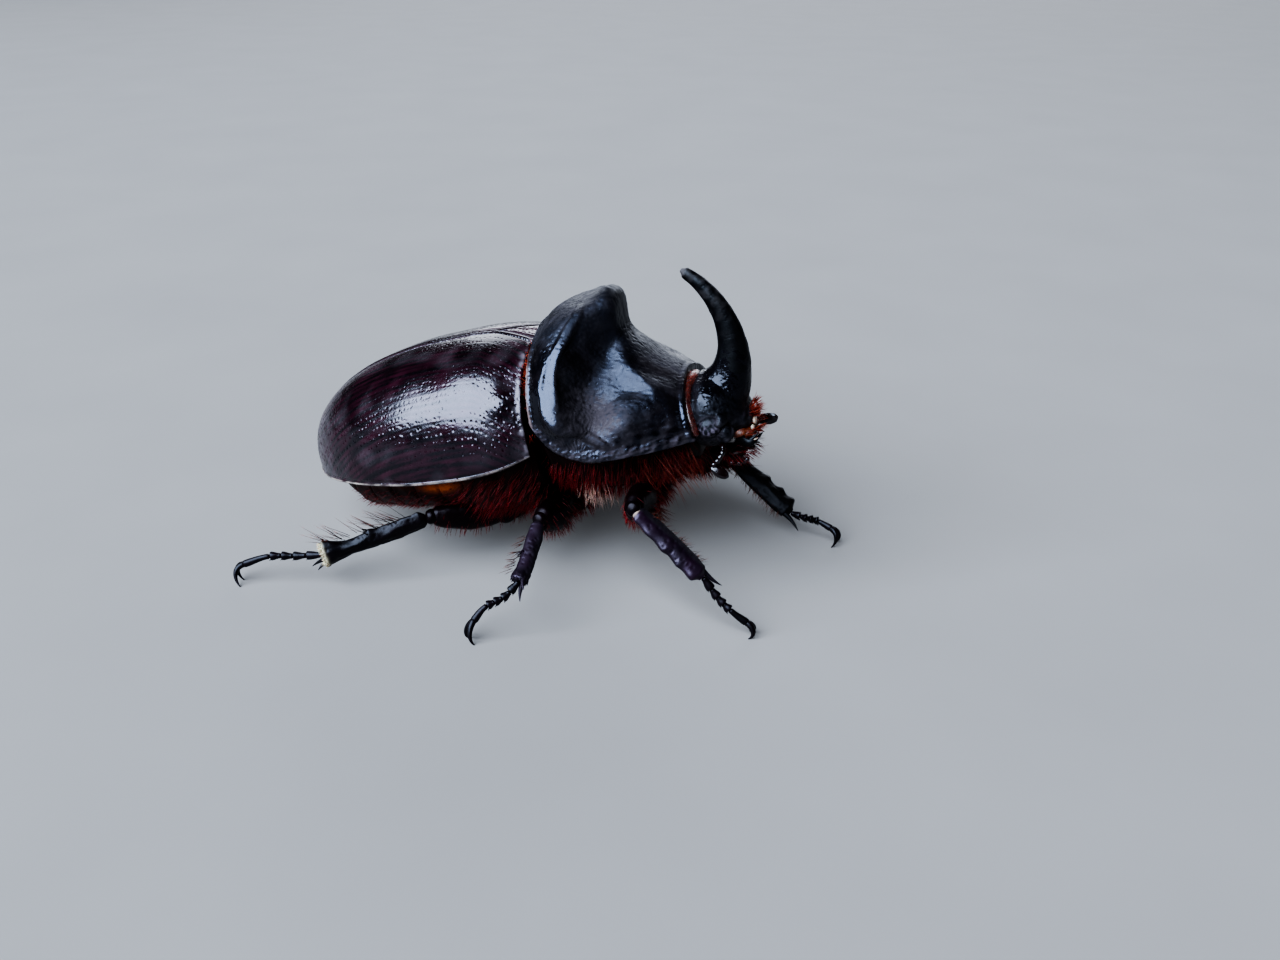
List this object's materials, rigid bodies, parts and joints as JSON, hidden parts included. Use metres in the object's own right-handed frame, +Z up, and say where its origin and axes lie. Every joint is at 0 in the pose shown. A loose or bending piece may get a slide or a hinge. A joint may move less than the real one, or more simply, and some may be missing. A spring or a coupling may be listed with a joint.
{
  "type": "rhinoceros beetle",
  "caption": "Male rhinoceros beetle standing on its legs, with a back-curved head horn, a humped and scooped pronotum and domed wing cases.",
  "frame": {"origin": "on the floor, under the middle of the animal's bounding box", "axes": "+Z up, the head faces -Y, +X towards the animal's left side"},
  "size_m": [0.0339, 0.0467, 0.0246],
  "materials": {
    "elytra": "glossy near-black shell with a purple-brown tint and fine rows of pits",
    "pronotum": "glossy black shell with fine pits and a dusty rim",
    "horn": "satin black, worn brown-grey near the tip",
    "head": "glossy black, coarsely pitted",
    "underside": "dark red-brown shell under rusty hair",
    "legs": "glossy black-violet with red-brown edges",
    "antennae": "dark red-brown, half gloss",
    "eyes": "satin bluish black, mottled with grey",
    "mouth": "orange-brown soft mouthparts",
    "hair": "rusty red-orange bristles"
  },
  "bodies": {
    "root": {"abdomen": "underside", "antenna_club_left": "antennae", "antenna_club_right": "antennae", "antenna_stalk_left": "antennae", "antenna_stalk_right": "antennae", "claws_front_left": "legs", "claws_front_right": "legs", "claws_hind_left": "legs", "claws_hind_right": "legs", "claws_mid_left": "legs", "claws_mid_right": "legs", "coxa_front_left": "legs", "coxa_front_right": "legs", "coxa_hind_left": "legs", "coxa_hind_right": "legs", "coxa_mid_left": "legs", "coxa_mid_right": "legs", "elytron_left": "elytra", "elytron_right": "elytra", "eye_left": "eyes", "eye_right": "eyes", "femur_front_left": "legs", "femur_front_right": "legs", "femur_hind_left": "legs", "femur_hind_right": "legs", "femur_mid_left": "legs", "femur_mid_right": "legs", "head": "head", "horn": "horn", "mandible_left": "head", "mandible_right": "head", "mouthparts": "mouth", "palp_left": "mouth", "palp_right": "mouth", "pronotum": "pronotum", "prothorax_underside": "underside", "pygidium": "underside", "scutellum": "elytra", "tarsus_front_left": "legs", "tarsus_front_right": "legs", "tarsus_hind_left": "legs", "tarsus_hind_right": "legs", "tarsus_mid_left": "legs", "tarsus_mid_right": "legs", "thorax_underside": "underside", "tibia_front_left": "legs", "tibia_front_right": "legs", "tibia_hind_left": "legs", "tibia_hind_right": "legs", "tibia_mid_left": "legs", "tibia_mid_right": "legs"}
  },
  "joints": []
}
